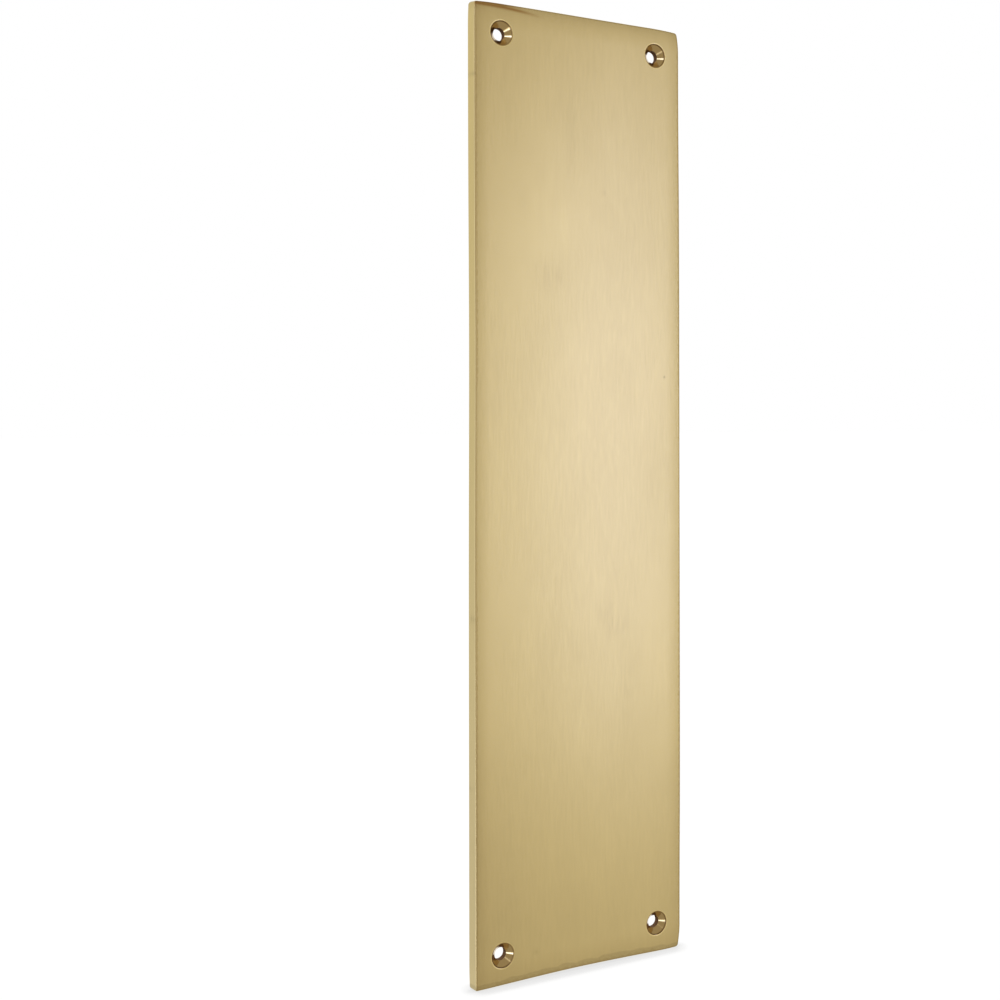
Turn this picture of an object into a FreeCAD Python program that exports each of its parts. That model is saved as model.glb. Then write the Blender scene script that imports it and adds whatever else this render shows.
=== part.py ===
import FreeCAD, Part
import math
import os
import Sketcher
from FreeCAD import Vector

# Door finger plate: one flat piece of brass, held to a door by four countersunk screws.
# X runs across the plate, Y runs into the door and Z runs up.
# The back lies on Y = 0, the face that hands touch looks towards -Y,
# and the origin is the centre of the back.

doc = FreeCAD.newDocument("door_finger_plate")

# Driving dimensions, in millimetres and degrees. Width and length are the back's.
driving_dimensions = (
    ("plate_length", "304.8"),
    ("plate_width", "77.6"),
    ("plate_thickness", "3.7"),
    ("side_lean", "0.65"),             # how far the front edge stands in from the back edge
    ("corner_radius", "1.8"),
    ("corner_ease_radius", "60"),      # the long curve that leads each side into its corner
    ("corner_ease_run", "8"),
    ("side_roll_width", "5"),          # the polished face falls away along its long sides
    ("side_roll_radius", "100"),
    ("front_edge_radius", "0.4"),
    ("back_edge_radius", "0.3"),
    ("hole_inset_side", "10"),         # from the back's edges to the hole centres
    ("hole_inset_end", "9.6"),
    ("bore_diameter", "4.05"),
    ("countersink_diameter", "7.7"),
    ("countersink_angle", "90"),
    ("countersink_lip_radius", "0.6"),
)

sizes = doc.addObject("Spreadsheet::Sheet", "sizes")
for row, (alias, number) in enumerate(driving_dimensions, start=1):
    sizes.set(f"A{row}", alias)
    sizes.set(f"B{row}", number)
    sizes.setAlias(f"B{row}", alias)
doc.recompute()

plate = doc.addObject("PartDesign::Body", "finger_plate")
plate.Label = "finger_plate"

# A sketch's own origin and axes, and the named points of a line, an arc or a circle
sketch_origin = (-1, 1)
x_axis, y_axis = -1, -2
first_end, last_end, centre = 1, 2, 3

quarters = ((1, 1), (-1, 1), (-1, -1), (1, -1))


def origin_plane(role):
    return next(item for item in plate.Origin.OriginFeatures if item.Role == role)


def new_sketch(name, role):
    sketch = plate.newObject("Sketcher::SketchObject", name)
    sketch.AttachmentSupport = [(origin_plane(role), "")]
    sketch.MapMode = "FlatFace"
    return sketch


def constrain(sketch, *definition):
    return sketch.addConstraint(Sketcher.Constraint(*definition))


def dimension(sketch, name, expression, *definition):
    index = constrain(sketch, *definition, float(sketch.evalExpression(expression)))
    sketch.renameConstraint(index, name)
    sketch.setExpression(f"Constraints.{name}", expression)


def add_line(sketch, first, last):
    return sketch.addGeometry(Part.LineSegment(first, last))


def add_arc(sketch, middle, first, last):
    # The shorter arc from first to last, with which of its two ends lies at each
    start_angle = math.atan2(first.y - middle.y, first.x - middle.x)
    stop_angle = math.atan2(last.y - middle.y, last.x - middle.x)
    ends = (first_end, last_end)
    turn = (stop_angle - start_angle) % (2 * math.pi)
    if turn > math.pi:
        start_angle = stop_angle
        turn = 2 * math.pi - turn
        ends = (last_end, first_end)
    circle = Part.Circle(middle, Vector(0, 0, 1), (first - middle).Length)
    number = sketch.addGeometry(Part.ArcOfCircle(circle, start_angle, start_angle + turn))
    return number, ends[0], ends[1]


def edges_where(shape, test):
    # Edges whose two faces pass the test, by their outward normals at the edge's middle,
    # the one that looks more to the front first
    names = []
    for number, edge in enumerate(shape.Edges, start=1):
        middle = edge.valueAt((edge.FirstParameter + edge.LastParameter) / 2)
        beside = [face for face in shape.Faces if any(edge.isSame(own) for own in face.Edges)]
        normals = [face.normalAt(*face.Surface.parameter(middle)) for face in beside]
        if len(normals) == 2 and test(*sorted(normals, key=lambda normal: normal.y)):
            names.append(f"Edge{number}")
    return names


def round_edges(name, base, edges, radius):
    fillet = plate.newObject("PartDesign::Fillet", name)
    fillet.Base = (base, edges)
    fillet.setExpression("Radius", f"sizes.{radius}")
    doc.recompute()
    return fillet


# The back's outline: four straight sides, joined by corners of three arcs each,
# a long easing curve off either side and a small round between them
half_width = sizes.plate_width / 2
half_length = sizes.plate_length / 2
ease_radius = sizes.corner_ease_radius
side_stop = half_length - sizes.corner_ease_run
end_stop = half_width - sizes.corner_ease_run

side_ease_centre = Vector(half_width - ease_radius, side_stop, 0)
end_ease_centre = Vector(end_stop, half_length - ease_radius, 0)
half_gap = (end_ease_centre - side_ease_centre) / 2
round_reach = math.sqrt((ease_radius - sizes.corner_radius) ** 2 - half_gap.Length ** 2)
round_centre = side_ease_centre + half_gap + Vector(1, 1, 0).normalize() * round_reach
ease_to_round = ease_radius / (ease_radius - sizes.corner_radius)
side_meets_round = side_ease_centre + (round_centre - side_ease_centre) * ease_to_round
end_meets_round = end_ease_centre + (round_centre - end_ease_centre) * ease_to_round

outline = new_sketch("back_outline", "XZ_Plane")
sides = {
    across: add_line(
        outline, Vector(across * half_width, -side_stop, 0), Vector(across * half_width, side_stop, 0)
    )
    for across in (1, -1)
}
ends = {
    along: add_line(
        outline, Vector(-end_stop, along * half_length, 0), Vector(end_stop, along * half_length, 0)
    )
    for along in (1, -1)
}

ease_arcs = []
round_arcs = []
for across, along in quarters:
    corner = [
        Vector(point.x * across, point.y * along, 0)
        for point in (
            Vector(half_width, side_stop, 0), side_ease_centre, side_meets_round, round_centre,
            end_meets_round, end_ease_centre, Vector(end_stop, half_length, 0),
        )
    ]
    side_ease = add_arc(outline, corner[1], corner[0], corner[2])
    corner_round = add_arc(outline, corner[3], corner[2], corner[4])
    end_ease = add_arc(outline, corner[5], corner[4], corner[6])
    side_tip = last_end if along > 0 else first_end
    end_tip = last_end if across > 0 else first_end
    constrain(outline, "Tangent", sides[across], side_tip, side_ease[0], side_ease[1])
    constrain(outline, "Tangent", side_ease[0], side_ease[2], corner_round[0], corner_round[1])
    constrain(outline, "Tangent", corner_round[0], corner_round[2], end_ease[0], end_ease[1])
    constrain(outline, "Tangent", end_ease[0], end_ease[2], ends[along], end_tip)
    ease_arcs += [side_ease[0], end_ease[0]]
    round_arcs.append(corner_round[0])

for side in sides.values():
    constrain(outline, "Symmetric", side, first_end, side, last_end, x_axis)
for end in ends.values():
    constrain(outline, "Symmetric", end, first_end, end, last_end, y_axis)
for other in ease_arcs[1:]:
    constrain(outline, "Equal", ease_arcs[0], other)
for other in round_arcs[1:]:
    constrain(outline, "Equal", round_arcs[0], other)

dimension(outline, "ease_radius", "sizes.corner_ease_radius", "Radius", ease_arcs[0])
dimension(outline, "round_radius", "sizes.corner_radius", "Radius", round_arcs[0])
half_width_rule = "sizes.plate_width / 2"
dimension(outline, "to_right", half_width_rule, "DistanceX", *sketch_origin, sides[1], last_end)
dimension(outline, "to_left", half_width_rule, "DistanceX", sides[-1], last_end, *sketch_origin)
half_length_rule = "sizes.plate_length / 2"
dimension(outline, "to_top", half_length_rule, "DistanceY", *sketch_origin, ends[1], last_end)
dimension(outline, "to_bottom", half_length_rule, "DistanceY", ends[-1], last_end, *sketch_origin)
run_rule = "sizes.corner_ease_run"
for across, name in ((1, "right_run"), (-1, "left_run")):
    dimension(outline, name, run_rule, "DistanceY", sides[across], last_end, ends[1], last_end)
for along, name in ((1, "top_run"), (-1, "bottom_run")):
    dimension(outline, name, run_rule, "DistanceX", ends[along], last_end, sides[1], last_end)

# The plate stands forward of its back, with every side leaning in
slab = plate.newObject("PartDesign::Pad", "slab")
slab.Profile = outline
slab.setExpression("Length", "sizes.plate_thickness")
slab.setExpression("TaperAngle", "-atan(sizes.side_lean / sizes.plate_thickness)")
doc.recompute()

# The face rolls off towards a long side: what lies in front of a large arc is taken away,
# from one end of the plate to the other. The arc leaves the flat of the face smoothly.
roll_radius = sizes.side_roll_radius
roll_inner = half_width - sizes.side_lean - sizes.side_roll_width
roll_fall = roll_radius - math.sqrt(roll_radius ** 2 - (half_width - roll_inner) ** 2)
face_level = -sizes.plate_thickness
cut_level = 2 * face_level

flat_meets_roll = Vector(roll_inner, face_level, 0)
roll_outside = Vector(half_width, face_level + roll_fall, 0)
front_outside = Vector(half_width, cut_level, 0)
front_inside = Vector(roll_inner, cut_level, 0)

roll_section = new_sketch("side_roll_section", "XY_Plane")
roll, roll_start, roll_stop = add_arc(
    roll_section, Vector(roll_inner, face_level + roll_radius, 0), flat_meets_roll, roll_outside
)
outer_line = add_line(roll_section, roll_outside, front_outside)
front_line = add_line(roll_section, front_outside, front_inside)
inner_line = add_line(roll_section, front_inside, flat_meets_roll)
constrain(roll_section, "Perpendicular", inner_line, last_end, roll, roll_start)
constrain(roll_section, "Coincident", roll, roll_stop, outer_line, first_end)
constrain(roll_section, "Coincident", outer_line, last_end, front_line, first_end)
constrain(roll_section, "Coincident", front_line, last_end, inner_line, first_end)
constrain(roll_section, "Vertical", outer_line)
constrain(roll_section, "Horizontal", front_line)
constrain(roll_section, "Vertical", inner_line)
dimension(roll_section, "radius", "sizes.side_roll_radius", "Radius", roll)
dimension(roll_section, "outside", half_width_rule, "DistanceX", *sketch_origin, outer_line, first_end)
inside_rule = "sizes.plate_width / 2 - sizes.side_lean - sizes.side_roll_width"
dimension(roll_section, "inside", inside_rule, "DistanceX", *sketch_origin, inner_line, last_end)
dimension(roll_section, "face", "sizes.plate_thickness", "DistanceY", inner_line, last_end, *sketch_origin)
dimension(roll_section, "front", "2 * sizes.plate_thickness", "DistanceY", front_line, last_end, *sketch_origin)

right_roll = plate.newObject("PartDesign::Pocket", "right_roll")
right_roll.Profile = roll_section
right_roll.Type = "ThroughAll"
right_roll.Midplane = True
doc.recompute()

both_rolls = plate.newObject("PartDesign::Mirrored", "both_rolls")
both_rolls.Originals = [right_roll]
both_rolls.MirrorPlane = (origin_plane("YZ_Plane"), [""])
plate.Tip = both_rolls
doc.recompute()

# The edges are rounded, the front one a little more than the back one
front_edges = edges_where(both_rolls.Shape, lambda face, side: face.y < -0.9 and side.y > -0.6)
front_edge = round_edges("front_edge", both_rolls, front_edges, "front_edge_radius")
back_edges = edges_where(front_edge.Shape, lambda side, back: back.y > 0.9 and side.y < 0.6)
back_edge = round_edges("back_edge", front_edge, back_edges, "back_edge_radius")

# Four screw holes, countersunk from the front
hole_across = half_width - sizes.hole_inset_side
hole_along = half_length - sizes.hole_inset_end
hole_centres = new_sketch("hole_centres", "XZ_Plane")
hole_centres.setExpression("AttachmentOffset.Base.z", "sizes.plate_thickness")
circles = []
for across, along in quarters:
    place = Vector(hole_across * across, hole_along * along, 0)
    circles.append(hole_centres.addGeometry(Part.Circle(place, Vector(0, 0, 1), sizes.bore_diameter / 2)))
for other in circles[1:]:
    constrain(hole_centres, "Equal", circles[0], other)
constrain(hole_centres, "Symmetric", circles[0], centre, circles[1], centre, y_axis)
constrain(hole_centres, "Symmetric", circles[1], centre, circles[2], centre, x_axis)
constrain(hole_centres, "Symmetric", circles[2], centre, circles[3], centre, y_axis)
dimension(hole_centres, "bore", "sizes.bore_diameter", "Diameter", circles[0])
across_rule = "sizes.plate_width / 2 - sizes.hole_inset_side"
dimension(hole_centres, "across", across_rule, "DistanceX", *sketch_origin, circles[0], centre)
along_rule = "sizes.plate_length / 2 - sizes.hole_inset_end"
dimension(hole_centres, "along", along_rule, "DistanceY", *sketch_origin, circles[0], centre)
doc.recompute()

screw_holes = plate.newObject("PartDesign::Hole", "screw_holes")
screw_holes.Profile = hole_centres
doc.recompute()
screw_holes.DepthType = "ThroughAll"
screw_holes.HoleCutType = "Countersink"
screw_holes.setExpression("Diameter", "sizes.bore_diameter")
screw_holes.setExpression("HoleCutDiameter", "sizes.countersink_diameter")
screw_holes.setExpression("HoleCutCountersinkAngle", "sizes.countersink_angle")
doc.recompute()

# The lip of each countersink is polished round
rims = edges_where(screw_holes.Shape, lambda face, cone: face.y < -0.99 and -0.9 < cone.y < -0.4)
lips = round_edges("countersink_lips", screw_holes, rims, "countersink_lip_radius")

# Each step has to leave a sound solid and take away what it should
steps = (slab, right_roll, both_rolls, front_edge, back_edge, screw_holes, lips)
for item in doc.Objects:
    if "Invalid" in item.State or "Error" in item.State:
        raise RuntimeError(f"{item.Name} failed: {item.State}")
for earlier, later in zip(steps, steps[1:]):
    if later.Shape.isNull() or not later.Shape.isValid():
        raise RuntimeError(f"{later.Name} left no sound solid")
    if later.Shape.Volume >= earlier.Shape.Volume:
        raise RuntimeError(f"{later.Name} took nothing away")
if len(plate.Shape.Solids) != 1 or len(rims) != len(quarters):
    raise RuntimeError("the plate isn't one solid with four countersinks")

os.makedirs("parts", exist_ok=True)
plate.Shape.exportStep(f"parts/{plate.Label}.step")
box = plate.Shape.BoundBox
print(f"finger plate {box.XLength:.2f} x {box.YLength:.2f} x {box.ZLength:.2f} mm, {plate.Shape.Volume:.0f} mm3")
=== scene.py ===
import math

import bmesh
import bpy
from mathutils import Euler, Matrix, Vector
from mathutils.geometry import delaunay_2d_cdt


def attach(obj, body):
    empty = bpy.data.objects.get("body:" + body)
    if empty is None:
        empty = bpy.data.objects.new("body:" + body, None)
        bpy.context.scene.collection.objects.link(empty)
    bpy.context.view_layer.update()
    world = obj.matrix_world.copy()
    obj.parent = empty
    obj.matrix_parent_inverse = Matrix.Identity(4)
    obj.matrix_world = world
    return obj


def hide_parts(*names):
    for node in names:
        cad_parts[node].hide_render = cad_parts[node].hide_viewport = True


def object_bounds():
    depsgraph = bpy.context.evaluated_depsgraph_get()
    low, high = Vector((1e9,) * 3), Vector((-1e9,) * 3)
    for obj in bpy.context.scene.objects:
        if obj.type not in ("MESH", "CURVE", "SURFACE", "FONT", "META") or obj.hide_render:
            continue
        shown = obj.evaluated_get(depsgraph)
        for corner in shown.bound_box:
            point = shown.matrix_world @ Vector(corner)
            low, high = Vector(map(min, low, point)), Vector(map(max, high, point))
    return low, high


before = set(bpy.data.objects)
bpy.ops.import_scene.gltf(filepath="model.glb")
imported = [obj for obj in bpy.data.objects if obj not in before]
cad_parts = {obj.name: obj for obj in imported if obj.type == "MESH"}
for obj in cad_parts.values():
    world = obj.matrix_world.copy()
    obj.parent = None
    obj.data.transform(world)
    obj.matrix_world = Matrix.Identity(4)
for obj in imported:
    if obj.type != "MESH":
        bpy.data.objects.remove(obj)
cadLow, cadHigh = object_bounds()
print("frame loaded")

scene = bpy.context.scene
mm = 0.001
quarterTurn = math.pi / 2
fourCorners = ((1, 1), (-1, 1), (-1, -1), (1, -1))       # right and up, in order round the plate


# Node trees: a Wire is one output socket, and sums on wires add their Math nodes

class Wire:
    def __init__(self, maker, socket):
        self.maker = maker
        self.socket = socket

    def __add__(self, other):
        return self.maker.maths("ADD", self, other)

    def __sub__(self, other):
        return self.maker.maths("SUBTRACT", self, other)

    def __rsub__(self, other):
        return self.maker.maths("SUBTRACT", other, self)

    def __mul__(self, other):
        return self.maker.maths("MULTIPLY", self, other)

    def __truediv__(self, other):
        return self.maker.maths("DIVIDE", self, other)

    def __rtruediv__(self, other):
        return self.maker.maths("DIVIDE", other, self)

    def __pow__(self, other):
        return self.maker.maths("POWER", self, other)

    def __neg__(self):
        return self.maker.maths("MULTIPLY", self, -1)

    __radd__ = __add__
    __rmul__ = __mul__


class NodeMaker:
    def __init__(self, tree):
        self.tree = tree
        tree.nodes.clear()

    def pick(self, sockets, key):
        live = [socket for socket in sockets if socket.enabled]
        if isinstance(key, int):
            return live[key]
        return next(socket for socket in live if key in (socket.name, socket.identifier))

    def node(self, kind, settings=None, sockets=None):
        # Call what comes back with an output's name or number for its Wire
        made = self.tree.nodes.new(kind)
        for name, value in (settings or {}).items():
            setattr(made, name, value)
        for key, value in (sockets or {}).items():
            socket = self.pick(made.inputs, key)
            for one in value if isinstance(value, list) else [value]:
                if isinstance(one, Wire):
                    self.tree.links.new(one.socket, socket)
                else:
                    socket.default_value = one
        return lambda key=0: Wire(self, self.pick(made.outputs, key))

    def maths(self, operation, *values):
        return self.node("ShaderNodeMath", {"operation": operation}, dict(enumerate(values)))()

    def length(self, first, second):
        return self.maths("SQRT", first * first + second * second)

    def mix(self, mode, amount, first, second):
        return self.node("ShaderNodeMix", {"data_type": "RGBA", "blend_type": mode}, {
            "Factor": amount, "A": first, "B": second,
        })("Result")


def shapeTree(name, inputs):
    # A Geometry Nodes tree with the given named inputs after its geometry
    tree = bpy.data.node_groups.new(name, "GeometryNodeTree")
    tree.interface.new_socket("Geometry", in_out="INPUT", socket_type="NodeSocketGeometry")
    for label, kind in inputs.items():
        tree.interface.new_socket(label, in_out="INPUT", socket_type=kind)
    tree.interface.new_socket("Geometry", in_out="OUTPUT", socket_type="NodeSocketGeometry")
    maker = NodeMaker(tree)
    return tree, maker, maker.node("NodeGroupInput")


def grow(name, seedMesh, tree, values):
    # Runs a tree on a seed mesh and gives back the plain mesh that comes out
    seed = bpy.data.objects.new(name, seedMesh)
    scene.collection.objects.link(seed)
    modifier = seed.modifiers.new(name, "NODES")
    modifier.node_group = tree
    inputs = [item for item in tree.interface.items_tree if item.in_out == "INPUT"]
    sockets = {item.name: item.identifier for item in inputs}
    for label, value in values.items():
        modifier[sockets[label]] = value
    graph = bpy.context.evaluated_depsgraph_get()
    grown = bpy.data.meshes.new_from_object(seed.evaluated_get(graph))
    seed.modifiers.clear()
    bpy.data.objects.remove(seed)
    return grown


# Camera

view = dict(
    place=(-0.23543, -0.38117, 0.02372),
    heading=28.607,              # degrees to the right of straight into the door
    tilt=-0.054,
    roll=-0.091,
    lens=50.05,
    sensor=36,
    lift=-0.0838,                # shift of the frame, so that upright lines stay upright
    nearest=10 * mm,
    farthest=50,
)

cameraData = bpy.data.cameras.new("camera")
cameraData.lens = view["lens"]
cameraData.sensor_width = view["sensor"]
cameraData.shift_y = view["lift"]
cameraData.clip_start = view["nearest"]
cameraData.clip_end = view["farthest"]
camera = bpy.data.objects.new("camera", cameraData)
scene.collection.objects.link(camera)
cameraTurn = Euler((math.radians(90 - view["tilt"]), 0, math.radians(-view["heading"]))).to_matrix()
cameraTurn = cameraTurn @ Matrix.Rotation(math.radians(view["roll"]), 3, "Z")
camera.matrix_world = Matrix.Translation(view["place"]) @ cameraTurn.to_4x4()
scene.camera = camera
print("camera set")


# The plate is made lying on its back, with its face up, and stood up at the end

plate = dict(
    width=77.6 * mm,             # width and length of the back
    length=304.8 * mm,
    thickness=3.7 * mm,
    sideLean=0.65 * mm,          # how far the front edge stands in from the back's
    frontEdge=0.4 * mm,          # radii of the two rounded edges
    backEdge=0.3 * mm,
    edgeSteps=7,
    wallSteps=14,
    sideRollWidth=5 * mm,        # the polished face falls away towards its long sides
    sideRollRadius=150 * mm,
    endRollWidth=7.7 * mm,       # and towards its ends
    endRollRadius=170 * mm,
    rollShare=(0.3, 0.8),        # the wall comes to follow the face between these shares of its height
    sideRun=8 * mm,              # how far from the end each side starts to ease in
    corners={
        (1, 1): dict(round=1.7 * mm, sideEase=36 * mm, endEase=144 * mm, endRun=12 * mm),
        (-1, 1): dict(round=1.3 * mm, sideEase=128 * mm, endEase=144 * mm, endRun=9 * mm),
        (-1, -1): dict(round=1.0 * mm, sideEase=160 * mm, endEase=400 * mm, endRun=7 * mm),
        (1, -1): dict(round=1.7 * mm, sideEase=36 * mm, endEase=144 * mm, endRun=10 * mm),
    },
    easeSteps=8,
    roundSteps=9,
    meshPitch=3 * mm,
    sharpFrom=32,                # degrees between faces, past which an edge is shaded sharp
)

screwHole = dict(
    fromSide=10 * mm,
    fromEnd=9.6 * mm,
    bore=4.05 * mm,
    countersink=7.7 * mm,
    coneAngle=45,                # degrees from the hole's axis
    lip=0.6 * mm,
    stepsRound=72,
    boreSteps=8,
    coneSteps=10,
    lipSteps=8,
)

halfWidth = plate["width"] / 2
halfLength = plate["length"] / 2
thickness = plate["thickness"]
lean = math.atan(plate["sideLean"] / thickness)
holeAcross = halfWidth - screwHole["fromSide"]
holeAlong = halfLength - screwHole["fromEnd"]
boreRadius = screwHole["bore"] / 2
sinkRadius = screwHole["countersink"] / 2
coneDepth = (sinkRadius - boreRadius) / math.tan(math.radians(screwHole["coneAngle"]))


# Satin brass, with the marks that polishing, handling and lacquer have left on it, and with painted
# shade and painted highlights along its edges and in its holes.
# A step, rise or fade is two numbers: nothing at the first, all of it at the second.

brass = dict(
    colour=(0.72, 0.575, 0.315, 1),
    roughness=0.235,
    grain=dict(across=0.65 * mm, along=5 * mm, detail=3.0),          # polishing grain, along the plate
    grainDepth=0.005 * mm,
    grainShade=0.1,
    streaks=dict(across=4 * mm, along=22 * mm, detail=2.0),
    streakShade=0.03,
    cloud=dict(across=19 * mm, along=31.6667 * mm, detail=3.0),
    cloudShade=0.05,
    cloudRoughness=0.03,
    pitSpacing=11 * mm,
    pitRadius=0.3 * mm,
    pitShade=0.25,
    sideStep=(0.42 * mm, 0.6 * mm),         # the side's finish starts this far behind the face
    sideColours=((0.594, 0.470, 0.203, 1), (0.555, 0.455, 0.235, 1)),    # duller, top and foot
    sideRoughness=0.36,
    backStep=(-0.4 * mm, -0.1 * mm),        # the back has no marks
    lineSteps=((0.26 * mm, 0.4 * mm), (0.8 * mm, 0.5 * mm)),
    frontEdgePaintedShade=0.03,                         # painted shade along the front edge, where it reflects a dark part of the room
    headShade=0.13,                         # darker along the upper end
    headTall=2.6 * mm,
    footShade=0.16,                         # a dull band along the lower end, bowed up in the middle
    footTall=2.1 * mm,
    footStep=(0.3 * mm, -0.3 * mm),
    footBow=1.0 * mm,
    footPaintedLight=0.045,                         # and painted light above it, a paler band
    footPaintedLightTall=8 * mm,
    markBreakUp=3,                          # how much the grain breaks up the marks
    marks=(                                 # millimetres from the middle; a shade below zero is paler
        dict(across=13.5, along=-43.2, wide=3.4, tall=3.0, shade=0.06),
        dict(across=9.5, along=-38.5, wide=3.0, tall=3.5, shade=0.03),
        dict(across=-10.4, along=69.3, wide=6.0, tall=5.0, shade=0.04),
        dict(across=-21.3, along=92.5, wide=2.0, tall=4.0, shade=0.035),
        dict(across=-4.0, along=108.8, wide=1.8, tall=16.0, shade=0.025),
        dict(across=17.5, along=-64.0, wide=5.0, tall=12.0, shade=0.02),
        dict(across=8.8, along=96.1, wide=0.8, tall=0.8, shade=0.045),
        dict(across=32.2, along=37.0, wide=0.35, tall=0.35, shade=0.35),
        dict(across=-17.0, along=-143.9, wide=1.0, tall=0.9, shade=0.09),
        dict(across=31.0, along=-62.0, wide=10.0, tall=28.0, shade=-0.055),
        dict(across=-36.0, along=-55.0, wide=6.0, tall=22.0, shade=-0.04),
        dict(across=-12.0, along=88.0, wide=16.0, tall=22.0, shade=-0.04),
        dict(across=-38.3, along=129.3, wide=0.5, tall=0.7, shade=0.1),
        dict(across=-38.4, along=-38.3, wide=0.4, tall=1.3, shade=0.1),
        dict(across=-38.5, along=-90.3, wide=0.4, tall=1.0, shade=0.1),
    ),
)

# The countersinks' finish, and the painted shade and painted highlight at their rims, lips and bores
sinkFinishAndPaintedLight = dict(
    colour=(0.70, 0.54, 0.31, 1),           # turned brass, browner than the face
    roughness=0.13,
    step=(0.14 * mm, 0.02 * mm),            # out from the countersink's radius
    ringPitch=0.26 * mm,
    ringDepth=0.0012 * mm,
    boreStep=(-0.03 * mm, 0.05 * mm),       # behind the foot of the cone
    # painted shade inside the bores: dark, matt and not metal
    boreShadeColour=(0.24, 0.12, 0.045, 1),
    boreRoughness=0.85,
    rimStep=(-0.4 * mm, -0.1 * mm),
    rimShadeColour=(0.24, 0.14, 0.06, 1),        # painted shade just inside the rim
    rimTowards=(0.5, 0.87),                 # thickest on this side: outwards, and towards the end
    rimLeast=0.3,
    lipStep=(0.5 * mm, 0.3 * mm),
    lipPaintedHighlight=0.2,                           # painted highlight on the rounded lip
)

stain = dict(
    colour=(0.40, 0.225, 0.08, 1),          # copper brown, from the upper left corner
    level=150.98 * mm,
    drop=0.95 * mm,                         # it leaves the edge and drops this far at its far end
    curl=2.7,
    tall=0.5 * mm,
    reach=21 * mm,
    fadeStep=(1.25, 0.65),                  # shares of the reach
    aboveRise=(-1.0, 0.5),                  # a film fills the space between the streak and the edge
    aboveFade=(0.95, 0.4),
    aboveStrength=0.9,
    cornerWide=1 * mm,
    cornerRise=(148.6 * mm, 151 * mm),
    cornerStrength=0.6,
)

satinBrass = bpy.data.materials.new("satin brass")
satinBrass.use_nodes = True
paint = NodeMaker(satinBrass.node_tree)


def softStep(value, step, start=0):
    # 0 before the step's first number and 1 past its second, which may be the lower one
    first, second = start + step[0], start + step[1]
    rise = paint.node("ShaderNodeMapRange", {"interpolation_type": "SMOOTHSTEP"}, {
        "Value": value, "From Min": min(first, second), "From Max": max(first, second),
    })("Result")
    return 1 - rise if first > second else rise


def bell(*offs):
    # 1 where every value is zero, fading softly to 0 away from there
    squares = [off * off for off in offs]
    return paint.maths("EXPONENT", -sum(squares[1:], squares[0]))


def shaded(colour, amount):
    # Darkens a colour by a share, or brightens it where the share is below zero
    light = 1 - amount
    grey = paint.node("ShaderNodeCombineColor", None, {"Red": light, "Green": light, "Blue": light})
    return paint.mix("MULTIPLY", 1.0, colour, grey("Color"))


def noiseAt(point, across, along, detail):
    # Noise about zero, whose patches have the given width and length
    scale = (1 / across, 1 / across, 1 / along)
    stretched = paint.node("ShaderNodeVectorMath", {"operation": "MULTIPLY"}, {0: point, 1: scale})
    noise = paint.node("ShaderNodeTexNoise", None, {
        "Vector": stretched("Vector"), "Scale": 1.0, "Detail": detail,
    })
    return noise("Fac") - 0.5


onPlate = paint.node("ShaderNodeTexCoord")("Object")
axes = paint.node("ShaderNodeSeparateXYZ", None, {"Vector": onPlate})
across = axes("X")
along = axes("Z")
depth = axes("Y") + thickness                  # behind the face
fromLeft = across + halfWidth

# Where each finish lies
fromHoleAcross = paint.maths("ABSOLUTE", across) - holeAcross
fromHoleAlong = paint.maths("ABSOLUTE", along) - holeAlong
fromHole = paint.length(fromHoleAcross, fromHoleAlong)
inHole = softStep(fromHole, sinkFinishAndPaintedLight["step"], sinkRadius)
inBore = softStep(depth, sinkFinishAndPaintedLight["boreStep"], coneDepth) * inHole
onLip = softStep(fromHole, sinkFinishAndPaintedLight["lipStep"], sinkRadius)
onSide = softStep(depth, brass["sideStep"]) * (1 - inHole)
onBack = softStep(depth, brass["backStep"], thickness)
lineStarts, lineEnds = brass["lineSteps"]
onFrontEdge = softStep(depth, lineStarts) * softStep(depth, lineEnds) * (1 - inHole)

# Grain, marks and pits
grain = noiseAt(onPlate, **brass["grain"])
streaks = noiseAt(onPlate, **brass["streaks"])
cloud = noiseAt(onPlate, **brass["cloud"])
marked = None
for mark in brass["marks"]:
    offAcross = (across - mark["across"] * mm) / (mark["wide"] * mm)
    offAlong = (along - mark["along"] * mm) / (mark["tall"] * mm)
    spot = bell(offAcross, offAlong) * mark["shade"]
    marked = spot if marked is None else marked + spot
pits = paint.node("ShaderNodeTexVoronoi", {"feature": "F1"}, {
    "Vector": onPlate, "Scale": 1 / brass["pitSpacing"],
})
pit = softStep(pits("Distance"), (brass["pitRadius"] / brass["pitSpacing"], 0.0))
shade = grain * brass["grainShade"] + streaks * brass["streakShade"] + cloud * brass["cloudShade"]
shade = shade + marked * (1 - onBack) * (1 + (grain + streaks) * brass["markBreakUp"])
shade = shade + pit * brass["pitShade"]

# The bands along both ends: a dull band at the foot with painted light above it, and a darker band at
# the upper end
aboveFoot = along + halfLength - plate["sideLean"]
bow = (across / halfWidth) ** 2 * brass["footBow"] + streaks * brass["footTall"]
foot = softStep(aboveFoot + bow, brass["footStep"], brass["footTall"])
# Painted light above the foot's band
footPaintedLight = bell(aboveFoot / brass["footPaintedLightTall"])
head = bell((halfLength - along) / brass["headTall"])
shade = shade + foot * brass["footShade"] - footPaintedLight * brass["footPaintedLight"] + head * brass["headShade"]

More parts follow.
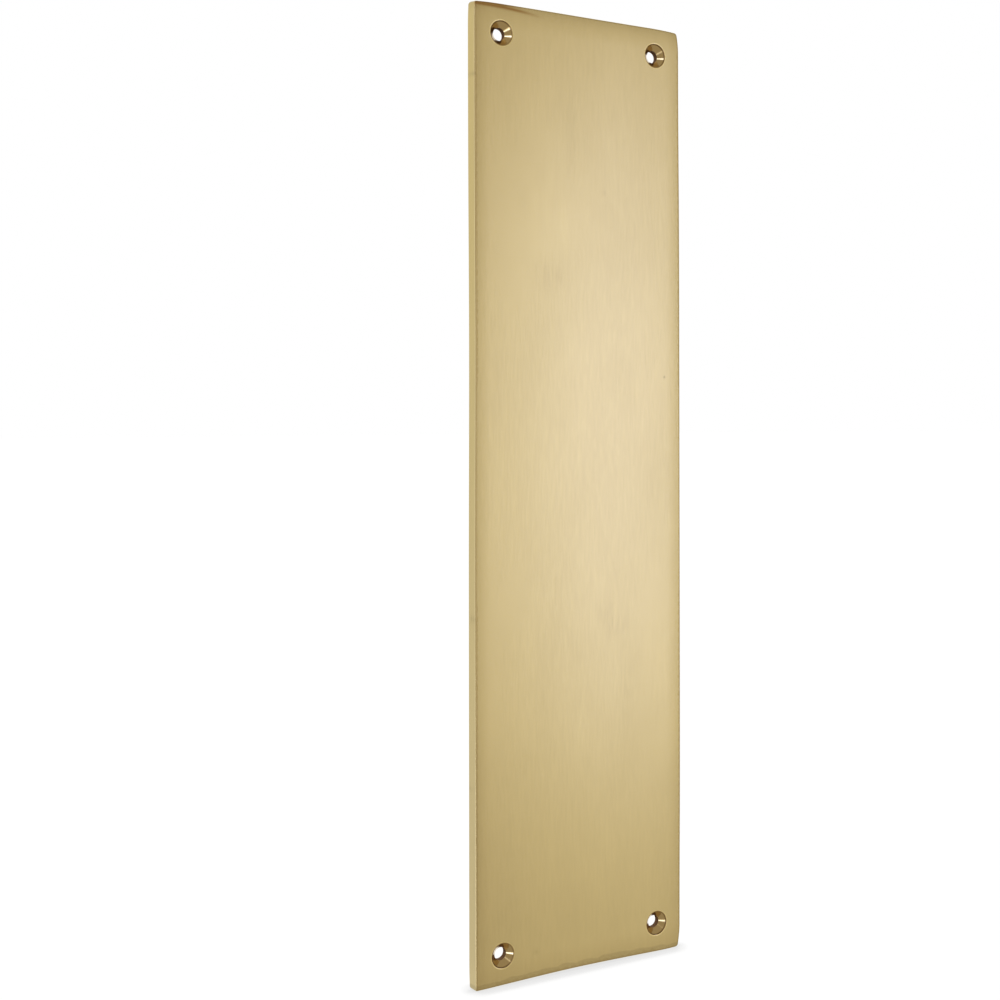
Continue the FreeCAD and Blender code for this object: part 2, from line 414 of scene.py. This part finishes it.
# The stain: a streak that curls down from the upper edge, the film above it and the corner itself
alongReach = fromLeft / stain["reach"]
bend = paint.maths("MAXIMUM", alongReach, 0.0) ** stain["curl"] * stain["drop"]
offLevel = (along + bend - stain["level"]) / stain["tall"]
streak = bell(offLevel) * softStep(alongReach, stain["fadeStep"])
film = softStep(offLevel, stain["aboveRise"]) * softStep(alongReach, stain["aboveFade"])
corner = bell((fromLeft - plate["sideLean"]) / stain["cornerWide"])
corner = corner * softStep(along, stain["cornerRise"])
stained = paint.maths("MAXIMUM", streak, film * stain["aboveStrength"])
stained = paint.maths("MAXIMUM", stained, corner * stain["cornerStrength"])

face = shaded(brass["colour"], shade)
face = paint.mix("MIX", stained * (1 - onSide), face, stain["colour"])
# Painted shade along the front edge
face = shaded(face, onFrontEdge * brass["frontEdgePaintedShade"])
# Painted highlight on the rounded lip round each hole
face = shaded(face, onLip * -sinkFinishAndPaintedLight["lipPaintedHighlight"])
sideColour = paint.mix("MIX", softStep(along, (halfLength, -halfLength)), *brass["sideColours"])
skin = paint.mix("MIX", onSide, face, shaded(sideColour, shade))

# The turned countersinks, with painted shade under their rims and in the bores
# Painted shade just inside each rim, heaviest outwards and towards the end
towardsAcross, towardsAlong = sinkFinishAndPaintedLight["rimTowards"]
rimSide = (fromHoleAcross * towardsAcross + fromHoleAlong * towardsAlong) / fromHole * 0.5 + 0.5
rim = softStep(fromHole, sinkFinishAndPaintedLight["rimStep"], sinkRadius)
rim = rim * (rimSide * (1 - sinkFinishAndPaintedLight["rimLeast"]) + sinkFinishAndPaintedLight["rimLeast"])
sink = paint.mix("MIX", rim, sinkFinishAndPaintedLight["colour"], sinkFinishAndPaintedLight["rimShadeColour"])
# The bores are painted dark, matt and not metal: painted shade inside the holes
sink = paint.mix("MIX", inBore, sink, sinkFinishAndPaintedLight["boreShadeColour"])
skin = paint.mix("MIX", inHole, skin, sink)

rough = brass["roughness"] + cloud * brass["cloudRoughness"]
rough = rough + onSide * (brass["sideRoughness"] - brass["roughness"])
rough = rough + inHole * (sinkFinishAndPaintedLight["roughness"] - brass["roughness"])
rough = rough + inBore * (sinkFinishAndPaintedLight["boreRoughness"] - sinkFinishAndPaintedLight["roughness"])
rings = paint.maths("SINE", fromHole * (2 * math.pi / sinkFinishAndPaintedLight["ringPitch"]))
height = grain * brass["grainDepth"] * (1 - inHole)
height = height + rings * sinkFinishAndPaintedLight["ringDepth"] * inHole * (1 - inBore)
bump = paint.node("ShaderNodeBump", None, {"Strength": 1.0, "Distance": 1.0, "Height": height})
shader = paint.node("ShaderNodeBsdfPrincipled", None, {
    "Base Color": skin,
    "Metallic": 1 - inBore,
    "Roughness": rough,
    "Normal": bump("Normal"),
})
paint.node("ShaderNodeOutputMaterial", None, {"Surface": shader("BSDF")})
print("brass made")


# The outline of the back

def arcPoints(centre, radius, start, stop, steps):
    return [
        centre + radius * Vector((math.cos(angle), math.sin(angle)))
        for angle in (start + (stop - start) * step / steps for step in range(steps + 1))
    ]


def cornerPoints(shape):
    # One corner in the upper right: a long arc off each side and a small one between them
    sideCentre = Vector((halfWidth - shape["sideEase"], halfLength - plate["sideRun"]))
    endCentre = Vector((halfWidth - shape["endRun"], halfLength - shape["endEase"]))
    sideReach = shape["sideEase"] - shape["round"]
    endReach = shape["endEase"] - shape["round"]
    between = endCentre - sideCentre
    forth = (between.length ** 2 + sideReach ** 2 - endReach ** 2) / (2 * between.length)
    off = math.sqrt(sideReach ** 2 - forth ** 2)
    ahead = between.normalized()
    roundCentre = sideCentre + ahead * forth + Vector((-ahead.y, ahead.x)) * off
    sideTurn = math.atan2(*(roundCentre - sideCentre).yx)
    endTurn = math.atan2(*(roundCentre - endCentre).yx)
    side = arcPoints(sideCentre, shape["sideEase"], 0, sideTurn, plate["easeSteps"])
    middle = arcPoints(roundCentre, shape["round"], sideTurn, endTurn, plate["roundSteps"])
    end = arcPoints(endCentre, shape["endEase"], endTurn, quarterTurn, plate["easeSteps"])
    return side + middle[1:-1] + end


def straightPoints(start, stop):
    pieces = round((stop - start).length / plate["meshPitch"])
    return [start.lerp(stop, step / pieces) for step in range(1, pieces)]


def outlinePoints():
    points = []
    for right, up in fourCorners:
        turned = [Vector((p.x * right, p.y * up)) for p in cornerPoints(plate["corners"][right, up])]
        turned = turned if right * up > 0 else turned[::-1]
        if points:
            points += straightPoints(points[-1], turned[0])
        points += turned
    return points + straightPoints(points[-1], points[0])


def pathMesh(name, points, closed):
    mesh = bpy.data.meshes.new(name)
    count = len(points)
    links = [(n, (n + 1) % count) for n in range(count)] if closed else []
    mesh.from_pydata([(p.x, p.y, 0) for p in points], links, [])
    return mesh


# Sections are drawn and swept by nodes: X points away from the path's middle, Y into the door

weldWithin = 0.002 * mm


def arcNode(maker, radius, start, sweep, steps, centre):
    arc = maker.node("GeometryNodeCurveArc", {"mode": "RADIUS"}, {
        "Radius": radius, "Start Angle": start, "Sweep Angle": sweep, "Resolution": steps,
    })
    return maker.node("GeometryNodeTransform", None, {"Geometry": arc(), "Translation": centre})()


def lineNode(maker, start, stop, steps):
    line = maker.node("GeometryNodeCurvePrimitiveLine", None, {"Start": start, "End": stop})
    return maker.node("GeometryNodeResampleCurve", None, {"Curve": line(), "Count": steps})()


def placeNode(maker, across, into):
    return maker.node("ShaderNodeCombineXYZ", None, {"X": across, "Y": into})()


def sweepAndFinish(maker, path, pieces, given, setAt=None):
    # Sweeps the joined pieces of a section along the path, and sets a copy at each given point
    section = maker.node("GeometryNodeJoinGeometry", None, {"Geometry": pieces})
    swept = maker.node("GeometryNodeCurveToMesh", None, {"Curve": path, "Profile Curve": section()})()
    if setAt:
        swept = maker.node("GeometryNodeInstanceOnPoints", None, {"Points": setAt, "Instance": swept})()
    real = maker.node("GeometryNodeRealizeInstances", None, {"Geometry": swept})
    merged = maker.node("GeometryNodeMergeByDistance", None, {
        "Geometry": real(), "Distance": weldWithin,
    })
    made = maker.node("GeometryNodeSetMaterial", None, {
        "Geometry": merged(), "Material": given("Material"),
    })
    maker.node("NodeGroupOutput", None, {"Geometry": made()})


# The plate's wall, swept round its outline: front edge, leaning side and back edge

wallInputs = {
    "Thickness": "NodeSocketFloat", "Lean": "NodeSocketFloat", "Front Edge": "NodeSocketFloat",
    "Back Edge": "NodeSocketFloat", "Edge Points": "NodeSocketInt", "Wall Points": "NodeSocketInt",
    "Material": "NodeSocketMaterial",
}


def makeWallTree():
    tree, wall, given = shapeTree("plate wall", wallInputs)
    leanSine = wall.maths("SINE", given("Lean"))
    leanCosine = wall.maths("COSINE", given("Lean"))
    frontRadius = given("Front Edge")
    backRadius = given("Back Edge")
    frontLevel = frontRadius - given("Thickness")
    frontAcross = -(frontRadius - leanSine * frontLevel) / leanCosine
    backAcross = -(backRadius * (1 + leanSine)) / leanCosine
    top = placeNode(wall, frontAcross + frontRadius * leanCosine, frontLevel - frontRadius * leanSine)
    foot = placeNode(wall, backAcross + backRadius * leanCosine, -backRadius - backRadius * leanSine)
    frontCentre = placeNode(wall, frontAcross, frontLevel)
    frontSweep = quarterTurn - given("Lean")
    backCentre = placeNode(wall, backAcross, -backRadius)
    backSweep = given("Lean") + quarterTurn
    pieces = [
        arcNode(wall, frontRadius, -quarterTurn, frontSweep, given("Edge Points"), frontCentre),
        lineNode(wall, top, foot, given("Wall Points")),
        arcNode(wall, backRadius, -given("Lean"), backSweep, given("Edge Points"), backCentre),
    ]
    path = wall.node("GeometryNodeMeshToCurve", None, {"Mesh": given("Geometry")})
    sweepAndFinish(wall, path(), pieces, given)
    return tree


wallMesh = grow("plate wall", pathMesh("outline", outlinePoints(), True), makeWallTree(), {
    "Thickness": thickness, "Lean": lean, "Front Edge": plate["frontEdge"],
    "Back Edge": plate["backEdge"], "Edge Points": plate["edgeSteps"],
    "Wall Points": plate["wallSteps"], "Material": satinBrass,
})
print("plate wall made:", len(wallMesh.polygons), "faces")


# The screw holes: bore, countersink and rounded lip, swept round and set at each corner

holeInputs = {
    "Thickness": "NodeSocketFloat", "Bore Radius": "NodeSocketFloat",
    "Sink Radius": "NodeSocketFloat", "Cone Angle": "NodeSocketFloat",
    "Lip Radius": "NodeSocketFloat", "Points Round": "NodeSocketInt",
    "Material": "NodeSocketMaterial",
}


def makeHoleTree():
    tree, hole, given = shapeTree("screw holes", holeInputs)
    coneSlope = hole.maths("TANGENT", given("Cone Angle"))
    coneSine = hole.maths("SINE", given("Cone Angle"))
    coneCosine = hole.maths("COSINE", given("Cone Angle"))
    sinkWidth = given("Sink Radius") - given("Bore Radius")
    coneFoot = sinkWidth / coneSlope - given("Thickness")
    lipRadius = given("Lip Radius")
    lipLevel = lipRadius - given("Thickness")
    lipAcross = sinkWidth + lipRadius * (1 - coneSine) / coneCosine
    back = placeNode(hole, 0.0, 0.0)
    foot = placeNode(hole, 0.0, coneFoot)
    top = placeNode(hole, lipAcross - lipRadius * coneCosine, lipLevel - lipRadius * coneSine)
    lipCentre = placeNode(hole, lipAcross, lipLevel)
    lipStart = given("Cone Angle") - math.pi
    lipSweep = quarterTurn - given("Cone Angle")
    pieces = [
        lineNode(hole, back, foot, screwHole["boreSteps"]),
        lineNode(hole, foot, top, screwHole["coneSteps"]),
        arcNode(hole, lipRadius, lipStart, lipSweep, screwHole["lipSteps"], lipCentre),
    ]
    path = hole.node("GeometryNodeCurvePrimitiveCircle", {"mode": "RADIUS"}, {
        "Radius": given("Bore Radius"), "Resolution": given("Points Round"),
    })
    sweepAndFinish(hole, path(), pieces, given, given("Geometry"))
    return tree


holeCentres = [Vector((right * holeAcross, up * holeAlong)) for right, up in fourCorners]
holeMesh = grow("screw holes", pathMesh("hole centres", holeCentres, False), makeHoleTree(), {
    "Thickness": thickness, "Bore Radius": boreRadius, "Sink Radius": sinkRadius,
    "Cone Angle": math.radians(screwHole["coneAngle"]), "Lip Radius": screwHole["lip"],
    "Points Round": screwHole["stepsRound"], "Material": satinBrass,
})
print("screw holes made:", len(holeMesh.polygons), "faces")


# The face and the back close the wall and the holes into one solid

faceMesh = dict(
    rollSteps=7,                 # strips along each border where the face rolls off
    firstRow=0.3 * mm,           # a row of points that follows the outline
    turnIn=4 * mm,               # and leans in at the corners, towards a box this far inside
    holeRings=((0.25 * mm, 72), (0.8 * mm, 48), (1.8 * mm, 36)),     # gap from the lip, and points
    clearOfHole=2.6 * mm,        # the grid keeps away from the holes and from the outline
    clearOfRim=0.6 * mm,
    levelWithin=0.01 * mm,
    holeShare=0.999,             # no triangles within this share of a hole's radius
    insideOnly=1,                # the kind of filling: triangles inside the outline
    closest=1e-9,                # points nearer than this are one
)


def boundaryAt(mesh, level):
    # The open edges at a level, and their points
    edges = [
        edge for edge in mesh.edges if edge.is_boundary
        and all(abs(vert.co.z - level) < faceMesh["levelWithin"] for vert in edge.verts)
    ]
    return edges, list(dict.fromkeys(vert for edge in edges for vert in edge.verts))


def fromHoles(point):
    return min((point - centre).length for centre in holeCentres)


def closeLevel(mesh, level, holeRadius, inner):
    edges, verts = boundaryAt(mesh, level)
    number = {vert: index for index, vert in enumerate(verts)}
    points = [vert.co.xy for vert in verts] + inner
    links = [tuple(number[vert] for vert in edge.verts) for edge in edges]
    places, _, triangles, sources, _, _ = delaunay_2d_cdt(
        points, links, [], faceMesh["insideOnly"], faceMesh["closest"]
    )
    verts += [mesh.verts.new((p.x, p.y, level)) for p in inner]
    corners = [verts[source[0]] for source in sources]
    for triangle in triangles:
        middle = sum((places[n] for n in triangle), Vector((0, 0))) / 3
        if fromHoles(middle) > faceMesh["holeShare"] * holeRadius:
            mesh.faces.new([corners[n] for n in triangle])


def faceStations(half, edge, rollWidth):
    # Places across the face: even in the middle and closer where it rolls off
    flat = half - plate["sideLean"] - rollWidth
    count = round(2 * flat / plate["meshPitch"])
    middle = [-flat + 2 * flat * step / count for step in range(count + 1)]
    steps = faceMesh["rollSteps"]
    outer = [flat + (edge - flat) * step / steps for step in range(1, steps)]
    return [-station for station in reversed(outer)] + middle + outer


def facePoints(mesh, level, rimRadius):
    # A row along the outline, rings round the holes and a grid over the rest
    rim = [vert.co.xy for vert in boundaryAt(mesh, level)[1]]
    rim = [point for point in rim if fromHoles(point) > 2 * rimRadius]
    boxAcross = halfWidth - faceMesh["turnIn"]
    boxAlong = halfLength - faceMesh["turnIn"]
    row = []
    for point in rim:
        inside = Vector((
            max(-boxAcross, min(boxAcross, point.x)),
            max(-boxAlong, min(boxAlong, point.y)),
        ))
        row.append(point + (inside - point).normalized() * faceMesh["firstRow"])
    rings = []
    for centre in holeCentres:
        for gap, count in faceMesh["holeRings"]:
            rings += arcPoints(centre, rimRadius + gap, 0, 2 * math.pi * (1 - 1 / count), count - 1)
    grid = []
    for x in faceStations(halfWidth, max(point.x for point in rim), plate["sideRollWidth"]):
        for y in faceStations(halfLength, max(point.y for point in rim), plate["endRollWidth"]):
            point = Vector((x, y))
            clearOfHoles = fromHoles(point) > rimRadius + faceMesh["clearOfHole"]
            if clearOfHoles and min((point - p).length for p in rim) > faceMesh["clearOfRim"]:
                grid.append(point)
    return row + rings + grid


# The sides and the ends were ground by hand and aren't quite straight

grinding = dict(
    trueAcross=33.8 * mm,        # nothing moves inside these, where the screw holes are
    trueAlong=147.6 * mm,
    leftHollow=dict(depth=0.25 * mm, middle=45 * mm, spread=45 * mm, power=2),
    rightFill=dict(depth=0.58 * mm, middle=-5 * mm, spread=115 * mm, power=8, least=0.4),
    headFill=dict(depth=0.2 * mm, middle=-24 * mm, spread=28 * mm, power=2),
    footHollow=dict(depth=0.2 * mm, middle=-2 * mm, spread=17 * mm, power=2),
    footFill=dict(depth=0.75 * mm, middle=-3 * mm, least=0.07),
)


def swell(place, shape):
    # 1 in the middle, fading to 0 at both sides
    return math.exp(-((place - shape["middle"]) / shape["spread"]) ** shape["power"])


def handGround(point):
    # Where the grinding leaves a point, within the solid's box
    forward = point.z / thickness
    left, right = grinding["leftHollow"], grinding["rightFill"]
    head, foot, hollow = grinding["headFill"], grinding["footFill"], grinding["footHollow"]
    nearSide = (abs(point.x) - grinding["trueAcross"]) / (halfWidth - grinding["trueAcross"])
    nearEnd = (abs(point.y) - grinding["trueAlong"]) / (halfLength - grinding["trueAlong"])
    if point.x < 0:
        shift = left["depth"] * swell(point.y, left)
    else:
        fill = right["least"] + (1 - right["least"]) * swell(point.y, right)
        shift = right["depth"] * forward * fill
    if point.y < 0:
        outwards = ((point.x - foot["middle"]) / halfWidth) ** 2
        fill = foot["depth"] * (foot["least"] + (1 - foot["least"]) * outwards)
        lift = (hollow["depth"] * swell(point.x, hollow) - fill) * forward
    else:
        lift = head["depth"] * swell(point.x, head) * forward
    return Vector((
        min(cadHigh[0], point.x + shift * max(0, min(1, nearSide))),
        max(cadLow[2], min(cadHigh[2], point.y + lift * max(0, min(1, nearEnd)))),
        point.z,
    ))


def rollOff(place, half, width, radius):
    past = max(0, abs(place) - (half - plate["sideLean"] - width))
    return radius - math.sqrt(radius ** 2 - past ** 2)


solid = bmesh.new()
solid.from_mesh(wallMesh)
solid.from_mesh(holeMesh)
fromFirstHole = [(vert.co.xy - holeCentres[0]).length for vert in boundaryAt(solid, thickness)[1]]
rimRadius = max(away for away in fromFirstHole if away < screwHole["countersink"])
closeLevel(solid, thickness, rimRadius, facePoints(solid, thickness, rimRadius))
closeLevel(solid, 0, boreRadius, [])
rollLow, rollHigh = plate["rollShare"]
for vert in solid.verts:
    vert.co = handGround(vert.co)
    fall = rollOff(vert.co.x, halfWidth, plate["sideRollWidth"], plate["sideRollRadius"])
    fall += rollOff(vert.co.y, halfLength, plate["endRollWidth"], plate["endRollRadius"])
    share = (vert.co.z / thickness - rollLow) / (rollHigh - rollLow)
    vert.co.z -= fall * max(0, min(1, share))
bmesh.ops.rotate(solid, matrix=Matrix.Rotation(quarterTurn, 3, "X"), verts=solid.verts)
bmesh.ops.recalc_face_normals(solid, faces=solid.faces)
openEdges = sum(not edge.is_manifold for edge in solid.edges)

plateMesh = bpy.data.meshes.new("finger plate")
solid.to_mesh(plateMesh)
solid.free()
plateMesh.shade_smooth()
plateMesh.set_sharp_from_angle(angle=math.radians(plate["sharpFrom"]))
plateMesh.materials.clear()
plateMesh.materials.append(satinBrass)
fingerPlate = bpy.data.objects.new("brassFingerPlate", plateMesh)
scene.collection.objects.link(fingerPlate)
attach(fingerPlate, "root")
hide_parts("finger_plate")
print("finger plate made:", len(plateMesh.polygons), "faces,", openEdges, "open edges")


# Floor and world

room = dict(
    floorLevel=-halfLength - 0.1 * mm,
    floorReach=12,
    floorColour=(0.1, 0.1, 0.1, 1),
    floorGlow=0.96,
    glowColour=(1, 1, 1, 1),
    otherLight=0.7,              # the world's strength for the light that falls on matt things
    shadowReach=4.8 * mm,        # the shadow where the plate stands on the floor
    shadowFade=1.8,
    shadowSlope=2,
    shadowDepth=0.23,
    shadowSamples=4,
)


def seenDirectly(maker):
    # 1 for the camera, for mirrors and for glass, 0 for the light that falls on matt things
    rays = maker.node("ShaderNodeLightPath")
    direct = maker.maths("MAXIMUM", rays("Is Camera Ray"), rays("Is Glossy Ray"))
    return maker.maths("MAXIMUM", direct, rays("Is Transmission Ray"))


world = bpy.data.worlds.new("studio")
scene.world = world
world.use_nodes = True
sky = NodeMaker(world.node_tree)
plain = sky.node("ShaderNodeBackground", None, {
    "Color": room["glowColour"],
    "Strength": seenDirectly(sky) * (1 - room["otherLight"]) + room["otherLight"],
})
sky.node("ShaderNodeOutputWorld", None, {"Surface": plain()})

floorMaterial = bpy.data.materials.new("pale floor")
floorMaterial.use_nodes = True
ground = NodeMaker(floorMaterial.node_tree)
matt = ground.node("ShaderNodeBsdfDiffuse", None, {"Color": room["floorColour"]})
openness = ground.node("ShaderNodeAmbientOcclusion", {"samples": room["shadowSamples"]}, {
    "Distance": room["shadowReach"],
})("AO")
shadow = (1 - openness) ** room["shadowFade"] * room["shadowSlope"]
unshaded = 1 - ground.maths("MINIMUM", shadow, room["shadowDepth"])
glow = ground.node("ShaderNodeEmission", None, {
    "Color": room["glowColour"],
    "Strength": seenDirectly(ground) * unshaded * room["floorGlow"],
})
both = ground.node("ShaderNodeAddShader", None, {0: matt(), 1: glow()})
ground.node("ShaderNodeOutputMaterial", None, {"Surface": both()})

floorMesh = bpy.data.meshes.new("floor")
reach = room["floorReach"]
floorCorners = [(right * reach, up * reach, 0) for right, up in fourCorners]
floorMesh.from_pydata(floorCorners, [], [(2, 3, 0, 1)])
floorMesh.transform(Matrix.Translation((0, 0, room["floorLevel"])))
floorMesh.materials.append(floorMaterial)
floor = bpy.data.objects.new("floor", floorMesh)
scene.collection.objects.link(floor)
floor.visible_glossy = False     # the brass sees the white world instead, which looks the same
print("floor and world made")


# The studio wall in front of the plate, which only shows as a reflection in the brass.
# Each glow is a soft patch: its colour is added round a direction, in degrees, where 0 across
# is straight out of the door and right is positive. A colour below zero is a dark card.

studioWall = dict(
    distance=2.5,
    stepsRound=96,
    stepsUp=48,
    stopsAt=10 * mm,             # it reaches this far behind the plate's back, and no further
    tone=(0.40, 0.35, 0.24),
    glows=(
        dict(across=33.5, up=0.8, wide=2.0, tall=18.0, edge=6.0, colour=(0.81, 1.02, 2.4)),
        dict(across=33.0, up=-1.2, wide=10.5, tall=27.5, edge=3.0, colour=(0.66, 0.70, 0.60)),
        dict(across=-59.0, up=31.0, wide=7.5, tall=6.0, edge=4.0, colour=(2.8, 3.3, 4.2)),
        dict(across=-46.0, up=31.0, wide=5.0, tall=5.0, edge=4.0, colour=(0.5, 0.5, 0.45)),
        dict(across=-59.0, up=-22.0, wide=7.5, tall=5.5, edge=4.0, colour=(2.8, 3.3, 4.2)),
        dict(across=-49.5, up=-28.0, wide=6.0, tall=5.0, edge=4.0, colour=(1.2, 1.2, 1.1)),
        dict(across=-50.0, up=3.0, wide=24.0, tall=15.0, edge=4.0, colour=(-0.22, -0.2, -0.15)),
        dict(across=-12.0, up=3.0, wide=22.0, tall=22.0, edge=4.0, colour=(0.42, 0.45, 0.45)),
    ),
)

wallPaper = bpy.data.materials.new("studio wall")
wallPaper.use_nodes = True
tint = NodeMaker(wallPaper.node_tree)
onWall = tint.node("ShaderNodeTexCoord")("Object")
outward = tint.node("ShaderNodeVectorMath", {"operation": "NORMALIZE"}, {0: onWall})("Vector")
outwardAxes = tint.node("ShaderNodeSeparateXYZ", None, {"Vector": outward})
degrees = 180 / math.pi
acrossAngle = tint.maths("ARCTAN2", outwardAxes("X"), -outwardAxes("Y")) * degrees
upAngle = tint.maths("ARCSINE", outwardAxes("Z")) * degrees
red, green, blue = studioWall["tone"]
seen = tint.node("ShaderNodeCombineColor", None, {"Red": red, "Green": green, "Blue": blue})("Color")
for patch in studioWall["glows"]:
    offAcross = (acrossAngle - patch["across"]) / patch["wide"]
    offUp = (upAngle - patch["up"]) / patch["tall"]
    amount = tint.maths("EXPONENT", -(tint.length(offAcross, offUp) ** patch["edge"]))
    seen = tint.mix("ADD", amount, seen, (*patch["colour"], 1))
shine = tint.node("ShaderNodeEmission", None, {"Color": seen, "Strength": 1.0})
tint.node("ShaderNodeOutputMaterial", None, {"Surface": shine()})

dome = bmesh.new()
bmesh.ops.create_uvsphere(
    dome, u_segments=studioWall["stepsRound"], v_segments=studioWall["stepsUp"],
    radius=studioWall["distance"],
)
behind = [vert for vert in dome.verts if vert.co.y > studioWall["stopsAt"]]
bmesh.ops.delete(dome, geom=behind, context="VERTS")
domeMesh = bpy.data.meshes.new("studio wall")
dome.to_mesh(domeMesh)
dome.free()
domeMesh.materials.append(wallPaper)
wallAround = bpy.data.objects.new("studioWall", domeMesh)
scene.collection.objects.link(wallAround)
for ray in ("camera", "diffuse", "transmission", "volume_scatter", "shadow"):
    setattr(wallAround, f"visible_{ray}", False)

scene.view_settings.view_transform = "Standard"
print("studio set")
